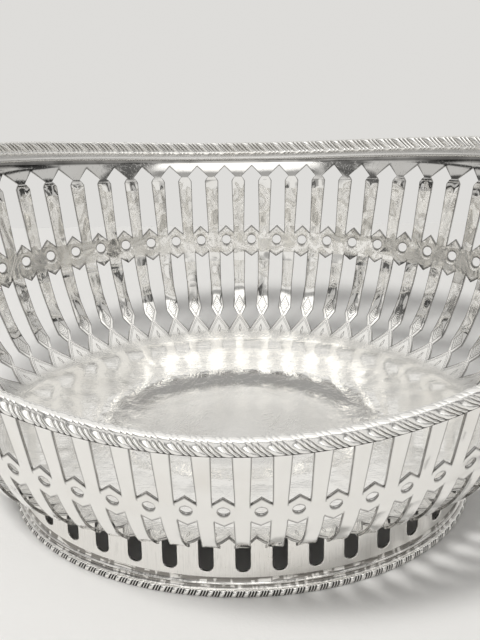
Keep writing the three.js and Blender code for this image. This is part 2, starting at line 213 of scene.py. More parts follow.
def hand_work(share, level):
    """How far hand work left the sheet out of true: long shallow waves over the wall, shorter ones
    on the slats and soft facets in the cove. Their two coordinates turn with the oval, so they
    close on themselves."""
    turn = bowl_angle(share)
    x, y = HALF_LENGTH * np.cos(turn), HALF_WIDTH * np.sin(turn)
    up = run_at(level)
    on_wall = np.clip((up - 22) / 14, 0, 1)
    lip = np.clip((2.6 - level) / 0.6, 0, 1)
    long = (0.05 + 0.17 * on_wall) * waves(x + 0.3 * up, y - 0.4 * up, HAND_SEED, LONG_WAVES)
    short = 0.10 * on_wall * waves(x + 0.7 * up, y + 0.6 * up, HAND_SEED + 1, SHORT_WAVES)
    on_cove = np.clip((level - 0.65) / 0.2, 0, 1) * np.clip((14 - up) / 10, 0, 1)
    facets = 0.11 * on_cove * waves(1.6 * x, 1.6 * y, HAND_SEED + 2, FACETS)
    return (long + short + facets) * np.clip(level, 0, 1) * lip


# Pieces

def new_object(name, data):
    """A new object in the scene."""
    item = bpy.data.objects.new(name, data)
    bpy.context.scene.collection.objects.link(item)
    return item


def make_piece(name, points, faces, material, replaced, uv, shade):
    """Puts points (millimetres) and faces (quads, where a triangle repeats its last corner) into a
    mesh, with a map in pattern units and a measure at each point of how much painted shade and
    tarnish it gets, set by how hollow or how close to a cut edge the metal is."""
    sizes = np.where(faces[:, 3] == faces[:, 2], 3, 4)
    keep = np.ones(faces.shape, bool)
    keep[sizes == 3, 3] = False
    corners = faces[keep]
    mesh = bpy.data.meshes.new(name)
    mesh.vertices.add(len(points))
    mesh.vertices.foreach_set("co", (points * MM).astype(np.float32).ravel())
    mesh.loops.add(len(corners))
    mesh.loops.foreach_set("vertex_index", corners.astype(np.int32))
    mesh.polygons.add(len(sizes))
    starts = np.concatenate([[0], np.cumsum(sizes)[:-1]])
    mesh.polygons.foreach_set("loop_start", starts.astype(np.int32))
    mesh.polygons.foreach_set("use_smooth", np.ones(len(sizes), bool))
    layer = mesh.uv_layers.new(name="pattern")
    layer.data.foreach_set("uv", uv[keep].astype(np.float32).ravel())
    layer = mesh.attributes.new("shade", "FLOAT", "POINT")
    layer.data.foreach_set("value", shade.astype(np.float32).ravel())
    mesh.update(calc_edges=True)
    mesh.validate()
    mesh.materials.append(material)
    piece = new_object(name, mesh)
    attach(piece, "root")
    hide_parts(*replaced)
    return piece


def round_edges(piece, width):
    """Rounds the edges that turn sharply, and keeps the faces between them as they were."""
    bevel = piece.modifiers.new("rounded", "BEVEL")
    bevel.width = width * MM
    bevel.segments = 2
    bevel.limit_method = "ANGLE"
    bevel.angle_limit = SHARP_ANGLE
    bevel.harden_normals = True


def grid_faces(rows, columns, first):
    """Quads of a grid of points stored row by row."""
    a = first + np.arange(rows - 1)[:, None] * columns + np.arange(columns - 1)
    return np.stack([a, a + 1, a + columns + 1, a + columns], -1).reshape(-1, 4)


def thicken(place, normal, grids, back_shade, offset=None):
    """Makes a closed sheet from grids of (share, level). Equal points are joined, both faces lie
    half the sheet's thickness off the middle, and a wall of two rows closes each edge that has one
    quad. Gives points, faces, the share and level of each face corner, and a painted-shade measure
    that is 0 on the front, the back's shade at its level on the back, 1 along the cut edges and
    less between them."""
    def reorder(rows, order, *corners):
        """Puts the corners of some quads in another order."""
        for each in corners:
            each[rows] = each[rows][:, order]

    shares, levels = (np.concatenate([grid[..., i].ravel() for grid in grids]) for i in (0, 1))
    firsts = np.cumsum([0] + [grid[..., 0].size for grid in grids])
    quads = np.concatenate([grid_faces(*grid.shape[:2], first)
                            for grid, first in zip(grids, firsts)])
    keys = np.stack([np.round(shares * 1e7).astype(np.int64) % 10_000_000,
                     np.round(levels * 1e6).astype(np.int64)], -1)
    keys[levels == 0] = 0
    _, first, joined = np.unique(keys, axis=0, return_index=True, return_inverse=True)
    joined = joined.ravel()
    share, level = shares[first], levels[first]
    middle, out = place(share, level), normal(share, level)
    if offset is not None:
        middle = middle + out * offset(share, level)[:, None]
    count = len(first)
    front = joined[quads]
    pattern = np.stack([shares[quads], levels[quads]], -1)
    a, b, c = (middle[front[:, i]] for i in range(3))
    facing = np.einsum("ij,ij->i", np.cross(b - a, c - a), out[front[:, 0]])
    reorder(facing < 0, [1, 0, 3, 2], front, pattern)
    reorder(front[:, 0] == front[:, 1], [2, 3, 0, 1], front, pattern)
    starts, ends = front, np.roll(front, -1, axis=1)
    forward = (starts * count + ends).ravel()
    free = ~np.isin(forward, (ends * count + starts).ravel())
    free &= starts.ravel() != ends.ravel()
    start, end = starts.ravel()[free], ends.ravel()[free]
    edge = np.unique(start)
    row = np.zeros(count, np.int64)
    row[edge] = 2 * count + np.arange(len(edge))
    points = np.concatenate([middle + out * SHEET / 2, middle - out * SHEET / 2, middle[edge]])
    cut = np.concatenate([np.zeros(count), back_shade(level), np.full(len(edge), CUT_SHADE)])
    cut[edge] = cut[edge + count] = 1
    walls = np.concatenate([np.stack([end, start, row[start], row[end]], -1),
                            np.stack([row[end], row[start], start + count, end + count], -1)])
    start_pattern = pattern.reshape(-1, 2)[free]
    end_pattern = np.roll(pattern, -1, axis=1).reshape(-1, 2)[free]
    wall_pattern = np.stack([end_pattern, start_pattern, start_pattern, end_pattern], 1)
    back, back_pattern = front[:, ::-1] + count, pattern[:, ::-1].copy()
    reorder(back[:, 0] == back[:, 1], [1, 2, 3, 3], back, back_pattern)
    faces = np.concatenate([front, back, walls])
    return points, faces, np.concatenate([pattern, back_pattern, wall_pattern, wall_pattern]), cut


def between(start, end, steps):
    """Points from start to end in even steps, the end left out."""
    share = np.linspace(0, 1, steps, endpoint=False)[:, None]
    return np.asarray(start) * (1 - share) + np.asarray(end) * share


def closed_line(corners, steps):
    """A closed line through corners, with its own number of even steps from each to the next."""
    return np.concatenate([between(*stretch)
                           for stretch in zip(corners, corners[1:] + corners[:1], steps)])


def ring(outline, opening, steps):
    """A grid between an opening and the outline round it: each point of the opening is joined by a
    straight line to its partner on the outline."""
    share = np.linspace(0, 1, steps + 1)[:, None, None]
    grid = opening * (1 - share) + outline * share
    return np.concatenate([grid, grid[:, :1]], 1)


def bowl_layout():
    """One slat and the panel with the hole beside it, laid out on (pitches, level). The slat is a
    grid of straight rows between its two edges. The panel is a ring between the hole and an
    outline of six corners, with a tooth at its top and bottom. Gives the slat and the outline."""
    top, bottom = level_at(UPPER_CORNER), level_at(LOWER_CORNER)
    upper_tooth = level_at(UPPER_CORNER + UPPER_TOOTH)
    lower_tooth = level_at(LOWER_CORNER - LOWER_TOOTH)
    shoulder = level_at(LOWER_TIP + LOWER_SHOULDER_RISE)
    rows = np.array([
        # level, half the metal's width in pitches, steps to the next
        (3.0, 0.5, 2),
        (level_at_inset(BORDER_INSET), 0.5, 3),
        (level_at(UPPER_TIP), 0.5, 3),
        (level_at(NECK_HEIGHT + UPPER_NECK_RISE), UPPER_NECK, 2),
        (level_at(NECK_HEIGHT - UPPER_SHOULDER_DROP), UPPER_SHOULDER, 5),
        (upper_tooth, UPPER_SLAT, 2),
        (top, UPPER_SLAT, 5),
        (bottom, LOWER_SLAT, 1),
        (lower_tooth, LOWER_SLAT, 4),
        ((lower_tooth + shoulder) / 2, SLAT_WAIST, 4),
        (shoulder, LOWER_SHOULDER, 2),
        (level_at(LOWER_TIP + LOWER_NECK_RISE), LOWER_NECK, 2),
        (level_at(LOWER_TIP), 0.5, 5),
        (1.0, 0.5, 9),
        (0.71, 0.5, 9),
        (0.43, 0.5, 3),
        (0.0, 0.5, 0),
    ])
    rows = np.concatenate([between(start[:2], end[:2], int(start[2]))
                           for start, end in zip(rows, rows[1:])] + [rows[-1:, :2]])
    across = np.array([-1, -0.78, -0.45, 0, 0.45, 0.78, 1])
    slat = np.stack(np.broadcast_arrays(0.5 + rows[:, 1:] * across, rows[:, :1]), -1)

    upper, lower = 0.5 - UPPER_SLAT, 0.5 - LOWER_SLAT
    outline = closed_line([(lower, bottom), (upper, top), (0, upper_tooth), (-upper, top),
                           (-lower, bottom), (0, lower_tooth)], [5] * 6)
    return slat, outline


def build_bowl(material):
    """The pierced bowl: 58 slats and 58 panels round the oval, thickened into one closed sheet."""
    slat, outline = bowl_layout()
    pitch = 1 / SLOTS
    hole_level = level_at(HOLE_HEIGHT)
    per_mm = float(level_at(HOLE_HEIGHT + 1) - hole_level)
    scale = np.array([BOWL_EDGE / SLOTS, 1 / per_mm])
    turn = np.arctan2(*((outline - np.array([0, hole_level])) * scale).T[::-1])
    grids = []
    for k in range(SLOTS):
        rise = SLOT_RISE * np.cos(bowl_angle(np.array(k * pitch))) ** 2
        stretch = 1 + rise / (UPPER_TIP - FLOOR_HEIGHT)
        hole = np.stack([HOLE_RADIUS * np.cos(turn) / scale[0],
                         hole_level + HOLE_RADIUS * np.sin(turn) * per_mm / stretch], -1)
        for part in (slat, ring(outline, hole, 4)):
            grids.append((part + np.array([k, 0])) * np.array([pitch, 1]))

    def offset(share, level):
        """Hand work, and a slight crown across each slat that fades at both ends of its slots."""
        x = (share * SLOTS) % 1 - 0.5
        in_slots = np.zeros_like(level)
        for low, high in ((LOWER_TIP + LOWER_NECK_RISE, LOWER_CORNER),
                          (UPPER_CORNER, NECK_HEIGHT)):
            start, end = level_at(low), level_at(high)
            reach = np.clip((level - start) / 0.1, 0, 1) * np.clip((end - level) / 0.1, 0, 1)
            in_slots = np.maximum(in_slots, reach * reach * (3 - 2 * reach))
        crown = SLAT_CROWN * (1 - np.minimum(np.abs(x / 0.23), 1.2) ** 3) * in_slots
        return hand_work(share, level) + crown

    def back_shade(level):
        """Painted shade on the underside of the floor, inside the foot."""
        return 0.8 * np.clip((1.08 - level) / 0.06, 0, 1)

    points, faces, pattern, cut = thicken(true_bowl, true_normal, grids, back_shade, offset)
    uv = np.stack([pattern[..., 0] * SLOTS, run_at(pattern[..., 1])], -1)
    bowl = make_piece("pierced_bowl", points, faces, material, ["bowl"], uv, cut)
    round_edges(bowl, BOWL_ROUNDING)


# Borders: a section carried along the oval, with each point of the section shifted along it, so
# that the lobes lie slantwise.

def strip_faces(stations, corners, closed):
    """Quads round a closed section from station to station, and back to the first if closed."""
    row = np.arange(stations if closed else stations - 1)[:, None]
    column = np.arange(corners)
    beside = (column + 1) % corners
    here, ahead = row * corners, (row + 1) % stations * corners
    quads = [here + column, here + beside, ahead + beside, ahead + column]
    return np.stack(quads, -1).reshape(-1, 4)


def rim_frame(share):
    """On the rim: the inner edge of the border's seat on the lip, the way across the seat and the
    way up from it, at shares of the rim's own oval."""
    turn = rim_angle(share)
    run = np.linspace(-1, 2, RIM_STEPS + 1)
    bowl_share = np.interp(turn, bowl_angle(run), run)
    inner_level = np.full(bowl_share.shape, level_at_inset(BORDER_INSET))
    lip_level = np.full(bowl_share.shape, 3.0)
    inner, outer = (true_bowl(bowl_share, level) + SHEET / 2 * true_normal(bowl_share, level)
                    for level in (inner_level, lip_level))
    along = (true_bowl(bowl_share + SMALL_STEP, lip_level)
             - true_bowl(bowl_share - SMALL_STEP, lip_level))
    across = outer - inner
    return inner, across / (BORDER_INSET - LIP_INSET), unit(np.cross(across, along))


def lobe_phases(lobe, reed_height, reed_power):
    """Where the stations of one unit lie, and how high the metal stands there: one plump lobe,
    then thin reeds. Each is a half wave raised to a power, which makes it fuller or thinner."""
    bounds = np.append(0, np.linspace(lobe, 1, REEDS + 1))
    share = (1 - np.cos(np.pi * np.arange(RELIEF_STEPS) / RELIEF_STEPS)) / 2
    wave = np.sin(np.pi * share)
    places = bounds[:-1, None] + np.diff(bounds)[:, None] * share
    heights = np.stack([wave ** 0.6] + [reed_height * wave ** reed_power] * REEDS)
    return places.ravel(), heights.ravel()


def encloses(points, quads):
    """The volume that quads enclose as seen from the points' middle, less than 0 where the faces
    point in: each quad adds the triple products of its two triangles."""
    a, b, c, d = (points[quads[:, i]] - points.mean(0) for i in range(4))
    return np.einsum("ij,ij->", a, np.cross(b, c) + np.cross(c, d))


def smooth_line(corners, steps):
    """A smooth curve through corners, with even steps between each pair: the cubic whose slope at
    a corner is half the way from the corner before it to the corner after it."""
    p = np.asarray(corners, float)
    p = np.concatenate([[2 * p[0] - p[1]], p, [2 * p[-1] - p[-2]]])
    t = np.linspace(0, 1, steps, endpoint=False)[:, None]
    pieces = []
    for i in range(1, len(p) - 2):
        a, b, c, d = p[i - 1:i + 3]
        pieces.append(0.5 * (2 * b + (c - a) * t + (2 * a - 5 * b + 4 * c - d) * t ** 2
                             + (3 * b - a - 3 * c + d) * t ** 3))
    return np.concatenate(pieces + [p[-2:-1]])


def carry(name, frame_at, edge, share, x, y, run, faces, material, slot, replaced, shade):
    """Carries a section along an oval. Its corners lie x across and y up from the oval, each at
    its own share of the way round, and its pattern is the distance along the oval and along the
    section."""
    origin, out, up = frame_at(share)
    points = (origin + out * x[..., None] + up * y[..., None]).reshape(-1, 3)
    if encloses(points, faces) < 0:
        faces = faces[:, ::-1]
    table = np.stack(np.broadcast_arrays(share * edge, run), -1).reshape(-1, 2)
    make_piece(name, points, faces, material, replaced, table[faces], shade.ravel())


def build_border(material, name, replaced, frame_at, edge, pieces, units, plain, arch, base, lean,
                 relief, groove_shade):
    """The struck lengths of one border. The section is a plain part and an arch that the lobes and
    reeds are cut into, and under each of their corners one on a straight base. Each corner of the
    arch is (x, y, depth): at a station it sinks along the arch's normal by the depth times what
    the lobe lacks there. Over the arch the corners shift evenly along the oval, from minus the
    lean to the lean. The last argument sets how dark the painted shade in the grooves is."""
    phases, heights = relief
    station = np.concatenate([(np.arange(units)[:, None] + phases).ravel(), [units]])
    height = np.concatenate([np.tile(heights, units), heights[:1]])
    top = np.concatenate([np.column_stack([plain, np.zeros(len(plain))]), arch])
    over = run_along(*top[:, :2].T)
    place = np.clip((over - over[len(plain)]) / (over[-1] - over[len(plain)]), 0, 1)
    slope = np.gradient(top[:, :2], axis=0)
    turn = np.sign(top[-1, 0] - top[0, 0])
    normal = unit(np.stack([-slope[:, 1], slope[:, 0]], -1)) * turn
    sink = top[:, 2] * (1 - height)[:, None]
    along = np.maximum.accumulate(turn * (top[:, 0] - top[0, 0]))
    bottom = base[0] + (base[1] - base[0]) * (along / along[-1])[:, None]
    x, y = (np.concatenate([top[:, i] - normal[:, i] * sink, bottom[::-1, i] + 0 * sink], 1)
            for i in (0, 1))
    place = np.concatenate([place, place[::-1]])
    stations, corners = x.shape
    column = np.arange(len(top) - 1)
    end = np.stack([column, column + 1, corners - 2 - column, corners - 1 - column], -1)
    faces = np.concatenate([strip_faces(stations, corners, False), end[:, ::-1],
                            end + (stations - 1) * corners])
    # Painted shade in the grooves: the deeper and lower the place, the darker.
    groove = groove_shade * np.clip(top[:, 2] / GROOVE_DEPTH, 0, 1) * (1 - height)[:, None]
    dark = np.concatenate([groove, 0 * sink], 1)
    # Painted shade greys the fillet, and painted shadow lines run along the border's inner edge,
    # under its outer edge and, on the foot, where it meets the table.
    dark[:, 1:len(plain) - 1] = FILLET_SHADE
    dark[:, [0, len(top) - 1, len(top), -1]] = 1
    run = np.concatenate([over, over[::-1]])
    for index in range(pieces):
        share = (index - 0.5 + station / units) / pieces
        shifted = share[:, None] + (2 * lean * place - lean) / edge
        carry(name.format(index + 1), frame_at, edge, shifted, x, y, run, faces, material,
              "struck_plate", [replaced.format(index + 1)], dark)


def build_rim_border(material):
    """Sixteen lengths round the lip: a plain fillet, and an arch with a steep inner face, a broad
    crest, an outer slope and a rounded edge that stands out under it."""
    plain = smooth_line([(0.25, -0.35), (0.1, 0.5), (0.5, 1.1), (2.2, 1.25), (3.7, 1.05)], 2)
    arch = smooth_line([(4.05, 1.0, 0.0), (4.35, 2.0, 0.7), (4.95, 3.5, 0.85), (5.6, 4.4, 0.6),
                        (6.3, 4.7, 0.2), (7.1, 4.2, 0.1), (7.8, 3.4, 0.1), (8.0, 2.4, 0.4),
                        (8.6, 1.5, 0.7), (9.0, 0.5, 0.85), (8.55, -0.6, 0.0)], 2)
    base = np.array([(0.3, -0.45), (7.9, -0.75)])
    build_border(material, "rim_lobes_{:02d}", "rim_border_{:02d}", rim_frame, RIM_EDGE,
                 RIM_PIECES, RIM_UNITS, plain, arch, base, RIM_LEAN,
                 lobe_phases(0.5, 0.85, 1.2), RIM_GROOVE_SHADE)


def foot_frame(share):
    """On the foot: the outer edge on the table, the way in from it and the way up."""
    turn = foot_angle(share)
    cosine, sine = np.cos(turn), np.sin(turn)
    zero = np.zeros_like(turn)
    origin = np.stack([FOOT_HALF_LENGTH * cosine, FOOT_HALF_WIDTH * sine, zero], -1)
    return origin, np.stack([-cosine, -sine, zero], -1), np.stack([zero, zero, zero + 1], -1)


def build_foot_border(material):
    """Eight lengths round the foot: a ledge, and lobes and reeds that run over the edge and down
    to the table."""
    plain = np.array([(5.4, 2.3), (3.4, 2.5), (2.0, 2.7)])
    arch = smooth_line([(1.75, 2.85, 0.0), (1.1, 2.95, 0.15), (0.4, 2.45, 0.75), (0.0, 1.5, 1.0),
                        (0.15, 0.6, 0.8), (0.6, 0.03, 0.2)], 2)
    base = np.array([(5.4, 0.0), (0.9, 0.0)])
    build_border(material, "foot_lobes_{}", "foot_border_{}", foot_frame, FOOT_EDGE, FOOT_PIECES,
                 FOOT_UNITS, plain, arch, base, FOOT_LEAN, lobe_phases(0.52, 0.8, 1.6), FOOT_GROOVE_SHADE)


def build_foot_moulding(material):
    """The moulding: a hollow band, a thin bead and an upright, carried right round the foot."""
    face = smooth_line([(1.15, 2.8), (1.85, 3.2), (2.35, 3.9), (2.35, 4.75), (2.1, 5.1),
                        (1.85, 5.4), (2.1, 5.7), (2.5, 6.1), (2.85, 6.9), (2.95, 8.05)], 3)
    back = np.array([(4.2, 8.0), (5.4, 7.7), (5.4, 2.8), (3.4, 2.8)])
    section = np.concatenate([face, back])
    share = np.arange(MOULDING_STATIONS)[:, None] / MOULDING_STATIONS + 0 * section[:, 0]
    run = run_along(*section.T)
    # Painted shade in the moulding's hollows, which the material breaks into tarnish streaks.
    hollow = np.interp(run, run[[0, 5, 9, 13, 17, 22, 26, 27]],
                       [0, 0.8, 0.8, 0, 0, 0.83, 0.83, 0.3])
    carry("foot_moulding_band", foot_frame, FOOT_EDGE, share, *section.T, run,
          strip_faces(MOULDING_STATIONS, len(section), True), material, "foot_plate",
          ["foot_moulding"], np.broadcast_to(hollow, share.shape))


def collar_point(share, height):
    """The middle of the collar's sheet: the foot's oval drawn in, a little more as it goes up."""
    turn = foot_angle(share)
    inset = COLLAR_INSET + COLLAR_DRAW_IN * (height - COLLAR_BASE) / (FLOOR_HEIGHT - COLLAR_BASE)
    return np.stack([(FOOT_HALF_LENGTH - inset) * np.cos(turn),
                     (FOOT_HALF_WIDTH - inset) * np.sin(turn), height], -1)


def collar_normal(share, height):
    """The direction out of the collar's outer face: the cross product of two small steps."""
    along = collar_point(share + SMALL_STEP, height) - collar_point(share - SMALL_STEP, height)
    up = collar_point(share, height + SMALL_STEP) - collar_point(share, height)
    return unit(np.cross(along, up))


def collar_top(share):
    """The height at which the middle of the collar meets the bowl's underside: the bowl's inset
    over that point of the foot is found by trying all of them."""
    point = collar_point(share, np.full(share.shape, FLOOR_HEIGHT))
    insets = np.linspace(NECK_INSET, FLOOR_INSET, INSET_STEPS)
    outside = ((point[:, None, 0] / (HALF_LENGTH - insets)) ** 2
               + (point[:, None, 1] / (HALF_WIDTH - insets)) ** 2)
    inset = insets[np.argmin(np.abs(outside - 1), axis=1)]
    height = np.interp(-inset, -LEVEL_INSETS, LEVEL_HEIGHTS)
    cosine = point[:, 0] / (HALF_LENGTH - inset)
    return height + rise_at(height) * cosine ** 2 - SHEET / 2


def build_collar(material):
    """The pierced collar: round each slot a ring of quads out to its share of the wall. Its inside
    gets painted shade, its cut edges are left bright."""
    grids = []
    low, high, base = FOOT_SLOT_LOW, FOOT_SLOT_HIGH, COLLAR_BASE - COLLAR_OVERLAP
    radius = FOOT_SLOT_RADIUS / FOOT_EDGE
    turn = np.linspace(0, np.pi, 9)
    half_round = np.stack([radius * np.cos(turn), FOOT_SLOT_RADIUS * np.sin(turn)], -1)
    opening = np.concatenate([
        half_round + [0, high], between((-radius, high), (-radius, low), 6)[1:],
        [0, low] - half_round, between((radius, low), (radius, high), 6)[1:]])
    for k in range(FOOT_SLOTS):
        left, right = (k - 0.5) / FOOT_SLOTS, (k + 0.5) / FOOT_SLOTS
        top = np.linspace(right, left, 5)
        outline = closed_line([(right, high), *zip(top, collar_top(top)), (left, high),
                               (left, low), (left, base), (right, base), (right, low)],
                              [2, 1, 1, 1, 1, 2, 6, 2, 4, 2, 6])
        grids.append(ring(outline, opening + np.array([k / FOOT_SLOTS, 0]), 4))
    # The collar's inside gets painted shade.
    points, faces, pattern, shade = thicken(collar_point, collar_normal, grids,
                                            lambda level: np.full(level.shape, INNER_PAINTED_SHADE))
    shade[shade != INNER_PAINTED_SHADE] = 0
    collar = make_piece("pierced_collar", points, faces, material, ["foot_collar"],
                        pattern * np.array([FOOT_EDGE, 1.0]), shade)
    round_edges(collar, COLLAR_ROUNDING)


# Materials

STAIN = (0.80, 0.77, 0.72, 1)
# Colour of the painted shade in the struck borders' grooves, fillet and edges.
STRUCK_PAINTED_SHADE = (0.05, 0.045, 0.04, 1)
# Colour of the tarnish streaks and painted shade on the foot.
FOOT_TARNISH_AND_SHADE = (0.09, 0.078, 0.064, 1)
# Colour of the painted shade on the bowl's cut edges and underside, and of the painted shadow
# under the border.
BOWL_PAINTED_SHADE = (0.04, 0.036, 0.032, 1)
CUT_TONE = (0.20, 0.19, 0.17, 1)

# Bands of the bowl, in millimetres up the profile from the floor's edge. Two numbers are the ends
# of a slope, four are where a window starts, is full, fades and ends.
MIDDLE_WORN, MIDDLE_LINES = (-31.0, -26.0), (-29.0, -23.0)
STEP_BAND, COVE_BAND = (-34.0, -28.0, -18.0, -12.0), (-19.0, -14.0, 4.0, 8.0)
WALL_WORN, WALL_FADE = (4.0, 9.0), (20.0, 26.0)

# Engraving: rise above the slots' edges, tips or shoulders, half height of the leaf and lozenge,
# and width. The widths of the leaf and lozenge are in pitches, all else is in millimetres.
SLOT_LINES = ((-0.9, 0.2), (-2.3, 0.2), (-3.4, 0.15))
SCALLOPED_RING, UPPER_RING, LOWER_RING = (-5.0, 0.22), (-4.0, 0.16), (-6.0, 0.2)
LEAF_RISE, LEAF_HALF, LEAF_WIDTH = -0.4, 2.2, 0.05
LOZENGE_RISE, LOZENGE_HALF, LOZENGE_WIDTH = 1.0, 4.4, 0.2


class Nodes:
    """The nodes of a material, or of the world, added and joined in short lines."""

    def __init__(self, owner):
        self.owner = owner
        owner.use_nodes = True
        self.tree = owner.node_tree
        self.shader = self.tree.nodes.get("Principled BSDF")

    def feed(self, sockets, values):
        """Gives inputs their values, or joins them to the outputs that feed them."""
        for key, value in values.items():
            if isinstance(value, bpy.types.NodeSocket):
                self.tree.links.new(value, sockets[key])
            else:
                sockets[key].default_value = value

    def add(self, kind, inputs=None, **settings):
        """A new node with its settings and inputs."""
        node = self.tree.nodes.new(kind)
        for key, value in settings.items():
            setattr(node, key, value)
        self.feed(node.inputs, inputs or {})
        return node

    def math(self, operation, *values):
        """One operation on one to three values."""
        return self.add("ShaderNodeMath", dict(enumerate(values)), operation=operation).outputs[0]

    def plus(self, first, second):
        """The sum of two values."""
        return self.math("ADD", first, second)

    def minus(self, first, second):
        """The first value less the second."""
        return self.math("SUBTRACT", first, second)

    def times(self, first, *others):
        """The product of the values."""
        for value in others:
            first = self.math("MULTIPLY", first, value)
        return first

    def most(self, first, *others):
        """The largest of the values."""
        for value in others:
            first = self.math("MAXIMUM", first, value)
        return first

    def ramp(self, value, low, high, from_value=0.0, to_value=1.0):
        """A straight slope between two values, level on both sides of it."""
        return self.add("ShaderNodeMapRange", {
            "Value": value, "From Min": low, "From Max": high, "To Min": from_value,
            "To Max": to_value}, clamp=True).outputs[0]

    def window(self, value, start, full, fade, end):
        """0 outside start and end, 1 from full to fade, straight slopes between."""
        return self.times(self.ramp(value, start, full), self.ramp(value, fade, end, 1.0, 0.0))

    def noise(self, vector, scale, detail, rough, stretch=None):
        """Smooth noise about 0.5. Stretch packs its waves closer along each axis, or draws them
        out where it is less than 1."""
        if stretch is not None:
            vector = self.add("ShaderNodeMapping", {"Vector": vector, "Scale": stretch}).outputs[0]
        return self.add("ShaderNodeTexNoise", {
            "Vector": vector, "Scale": scale, "Detail": detail, "Roughness": rough}).outputs["Fac"]

    def mix(self, share, first, second):
        """A colour between two."""
        return self.add("ShaderNodeMix", {0: share, 6: first, 7: second},
                        data_type="RGBA").outputs[2]

    def bump(self, height, distance, strength, normal=None):
        """The normal, tilted by the slope of a height field of that many metres."""
        inputs = {"Height": height, "Distance": distance, "Strength": strength}
        if normal is not None:
            inputs["Normal"] = normal
        return self.add("ShaderNodeBump", inputs).outputs[0]


def scratches(n, place, scale, angle):
    """Thin marks in one direction: noise drawn out 90 times along it, of which only the highest
    ridges are kept."""
    turned = n.add("ShaderNodeMapping", {"Vector": place, "Rotation": (0.1, 0.2, angle)})
    field = n.noise(turned.outputs[0], scale, 1.0, 0.4, stretch=(1.0, 90.0, 20.0))
    return n.ramp(field, 0.66, 0.72)


def plate(name, silver, rough, marked, finish):
    """Silver plate: a warm white metal with faint stains and fine crossed scratches, a surface
    that waves a little, and a roughness that varies with handling. Finish adds what is special to
    the piece."""
    n = Nodes(bpy.data.materials.new(name))
    place = n.add("ShaderNodeTexCoord").outputs["Object"]
    uv = n.add("ShaderNodeUVMap", uv_map="pattern").outputs[0]
    shade = n.add("ShaderNodeAttribute", attribute_name="shade").outputs["Fac"]
    height = n.add("ShaderNodeSeparateXYZ", {"Vector": place}).outputs[2]
    blots = n.noise(place, 45, 4.0, 0.6)
    marks = n.most(scratches(n, place, 30, 0.5), scratches(n, place, 36, 2.1),
                   scratches(n, place, 33, 2.9))
    on_wall = n.ramp(height, 0.036, 0.060, 0.08, 1.0)
    normal = n.bump(n.times(n.noise(place, 80, 0.0, 0.5), on_wall), 0.0004, 0.5)
    normal = n.bump(marks, 0.00001, marked, normal)
    normal = n.bump(n.noise(place, 1400, 1.0, 0.6), 0.00001, 0.3, normal)
    colour = n.mix(n.ramp(blots, 0.52, 0.8, 0.0, 0.5), silver, STAIN)
    roughness = n.plus(n.ramp(blots, 0.3, 0.75, rough * 0.7, rough * 1.5), n.times(marks, 0.05))
    colour, roughness, normal = finish(n, (place, uv, shade, height, blots), colour, roughness,
                                       normal)
    n.feed(n.shader.inputs, {"Base Color": colour, "Metallic": 1.0, "Roughness": roughness,
                             "Normal": normal})
    return n.owner


def shaded_grooves(n, fields, colour, roughness, normal):
    """The struck borders: painted shade in the grooves, darker and duller the deeper the groove,
    and on the fillet and along the border's edges."""
    shade = fields[2]
    dark = n.ramp(shade, 0.45, 0.9)
    return (n.mix(n.times(dark, 0.93), colour, STRUCK_PAINTED_SHADE),
            n.plus(roughness, n.times(dark, 0.3)), normal)


def brushed(n, fields, colour, roughness, normal):
    """The foot: fine upright brush lines, small dents in the moulding, painted shade in its
    hollows, broken up by upright and by level tarnish streaks, and painted shade inside the
    collar."""
    _, uv, shade, height, _ = fields
    lines = n.noise(uv, 1.0, 3.0, 0.7, stretch=(2.2, 0.1, 1.0))
    normal = n.bump(lines, 0.00006, 0.5, normal)
    roughness = n.plus(roughness, n.ramp(lines, 0.35, 0.7, 0.0, 0.1))
    upright = n.noise(uv, 1.0, 1.0, 0.5, stretch=(0.42, 0.08, 1.0))
    level = n.noise(uv, 1.0, 1.0, 0.5, stretch=(0.1, 0.6, 1.0))
    streaks = n.most(n.ramp(upright, 0.44, 0.52), n.ramp(level, 0.5, 0.56))
    on_moulding = n.ramp(height, 0.0078, 0.0081, 1.0, 0.0)
    normal = n.bump(n.times(on_moulding, n.plus(upright, level)), 0.0005, 0.6, normal)
    # Painted shade in the moulding's hollows, in streaks, and full painted shade inside the
    # collar.
    tarnish_and_shade = n.most(n.times(shade, n.math("MULTIPLY_ADD", streaks, 0.95, 0.05)),
                     n.ramp(shade, 0.84, 0.9), n.ramp(lines, 0.5, 0.75, 0.0, 0.22))
    return n.mix(n.times(tarnish_and_shade, 0.93), colour, FOOT_TARNISH_AND_SHADE), roughness, normal


